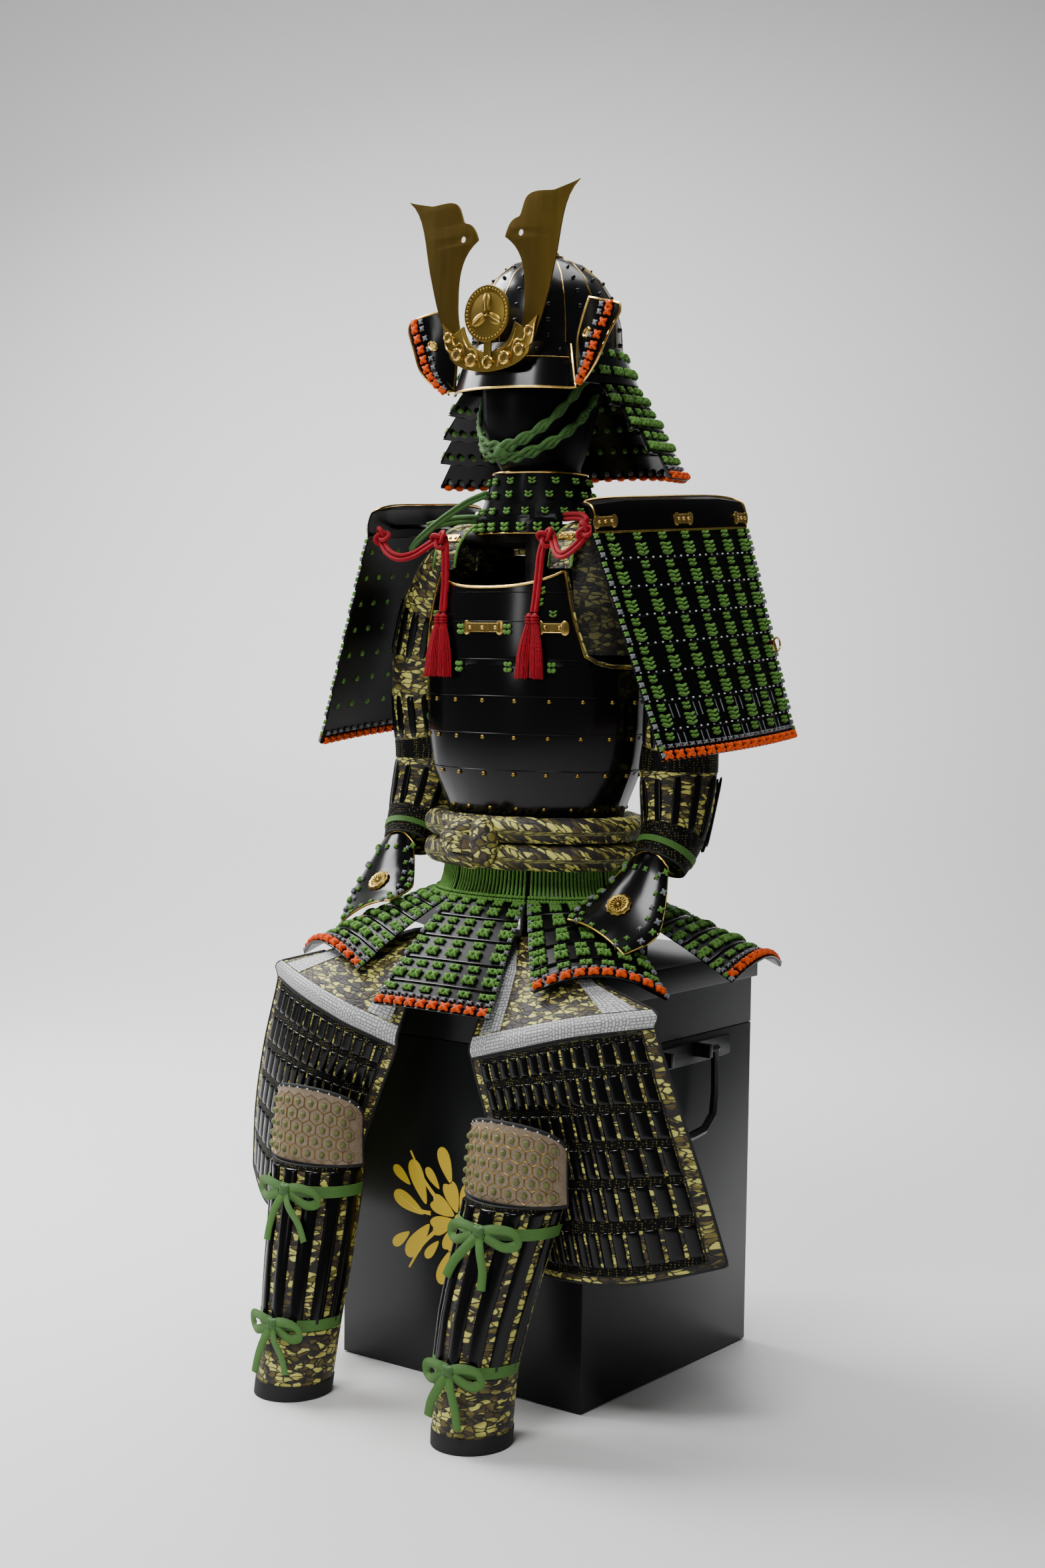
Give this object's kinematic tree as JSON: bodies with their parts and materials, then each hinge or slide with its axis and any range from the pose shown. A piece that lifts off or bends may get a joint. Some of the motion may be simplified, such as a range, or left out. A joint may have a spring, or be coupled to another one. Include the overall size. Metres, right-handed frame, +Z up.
{
  "type": "samurai armour seated on its armour box and stand",
  "caption": "Full lacquered samurai armour with horned helmet, laced skirts and shoulder guards, posed seated on its square armour box and inner stand.",
  "frame": {"origin": "on the floor under the middle of the box", "axes": "+Z up, the front faces -Y, the armour's own left is +X"},
  "size_m": [0.7966, 0.6165, 1.5563],
  "materials": {
    "box_lacquer": "satin black lacquer",
    "stand_wood": "dark stained, satin",
    "head_form": "smooth satin black",
    "black_iron": "satin black",
    "black_lacquer": "gloss black lacquer",
    "gilt": "polished gilt",
    "green_cord": "braided silk",
    "crimson_cord": "braided silk",
    "brocade": "woven brocade",
    "tan_leather": "stitched leather"
  },
  "bodies": {
    "root": {"box_body": "box_lacquer", "box_lid": "box_lacquer", "chest_cord_left": "crimson_cord", "chest_cord_right": "crimson_cord", "chin_cord": "green_cord", "crest_disc": "gilt", "cuirass_back": "black_lacquer", "cuirass_front": "black_lacquer", "hand_guard_left": "black_lacquer", "hand_guard_right": "black_lacquer", "handle_mount_left": "black_iron", "handle_mount_right": "black_iron", "head_form": "head_form", "helmet_bowl": "black_lacquer", "helmet_loop": "crimson_cord", "helmet_top": "gilt", "horn_base": "gilt", "horn_left": "gilt", "horn_right": "gilt", "knee_plate_left": "tan_leather", "knee_plate_right": "tan_leather", "neck_guard": "black_lacquer", "sash_knot": "brocade", "sash_lower": "brocade", "sash_upper": "brocade", "shin_guard_left": "black_lacquer", "shin_guard_right": "black_lacquer", "shin_tie_lower_left": "green_cord", "shin_tie_lower_right": "green_cord", "shin_tie_upper_left": "green_cord", "shin_tie_upper_right": "green_cord", "shoulder_strap_left": "brocade", "shoulder_strap_right": "brocade", "sleeve_left": "brocade", "sleeve_right": "brocade", "sode_left": "black_lacquer", "sode_plate_left": "black_lacquer", "sode_plate_right": "black_lacquer", "sode_right": "black_lacquer", "stand": "stand_wood", "tassel_left": "crimson_cord", "tassel_right": "crimson_cord", "tasset_back_left": "black_lacquer", "tasset_back_right": "black_lacquer", "tasset_front": "black_lacquer", "tasset_front_left": "black_lacquer", "tasset_front_right": "black_lacquer", "tasset_side_left": "black_lacquer", "tasset_side_right": "black_lacquer", "thigh_guard_left": "brocade", "thigh_guard_right": "brocade", "throat_guard": "black_lacquer", "turnback_left": "black_lacquer", "turnback_right": "black_lacquer", "visor": "black_lacquer"},
    "handle_left": {"handle_left": "black_iron"},
    "handle_right": {"handle_right": "black_iron"}
  },
  "joints": [
    {"name": "handle_left_swing", "type": "hinge", "parent": "root", "child": "handle_left", "pos_m": [0.2224, 0, 0.434], "axis": [0, -1, 0], "range_deg": [0, 100]},
    {"name": "handle_right_swing", "type": "hinge", "parent": "root", "child": "handle_right", "pos_m": [-0.2224, 0, 0.434], "axis": [0, 1, 0], "range_deg": [0, 100]}
  ]
}
